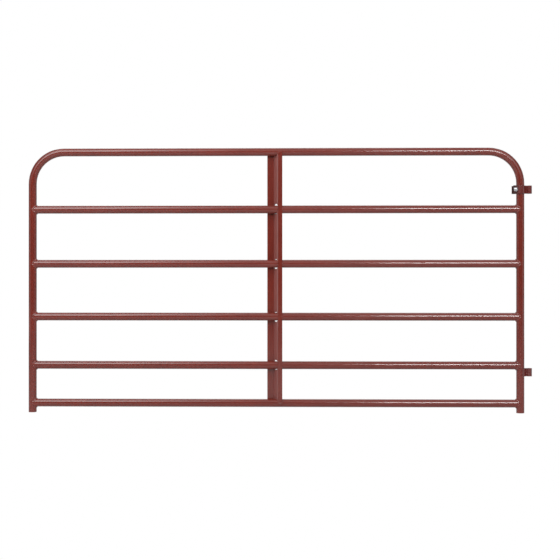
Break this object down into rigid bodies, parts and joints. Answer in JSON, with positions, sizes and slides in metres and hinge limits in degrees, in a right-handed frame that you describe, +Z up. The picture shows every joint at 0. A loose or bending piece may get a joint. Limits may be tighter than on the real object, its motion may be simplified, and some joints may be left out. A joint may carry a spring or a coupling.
{
  "type": "livestock gate",
  "caption": "Tubular steel field gate for livestock: a bent hoop frame with straight rails, a punched centre stay, a welded lower hinge and a clamp-on upper hinge.",
  "frame": {"origin": "on the hinge axis, at mid height of the lower hinge eye", "axes": "+Z up along the hinge axis, the panel runs towards -X, the front faces -Y"},
  "size_m": [2.4171, 0.0683, 1.27],
  "materials": {
    "paint": "semi-gloss maroon-red baked paint over steel tube and welds",
    "zinc": "bright zinc plate"
  },
  "bodies": {
    "gate": {"frame_hoop": "paint", "rail_2": "paint", "rail_3": "paint", "rail_4": "paint", "rail_5": "paint", "rail_6": "paint", "centre_stay": "paint", "lower_hinge_strap": "paint", "rail_2_welds": "paint", "rail_3_welds": "paint", "rail_4_welds": "paint", "rail_5_welds": "paint", "rail_6_welds": "paint", "stay_rail_welds": "paint", "stay_end_welds": "paint", "lower_hinge_welds": "paint"},
    "upper_hinge": {"upper_hinge_strap": "paint", "clamp_bolt": "zinc", "clamp_washer": "zinc", "clamp_lock_washer": "zinc", "clamp_nut": "zinc"}
  },
  "joints": [
    {"name": "upper_hinge_height", "type": "slide", "parent": "gate", "child": "upper_hinge", "axis": [0, 0, 1], "range_m": [-0.045, 0.01]}
  ]
}
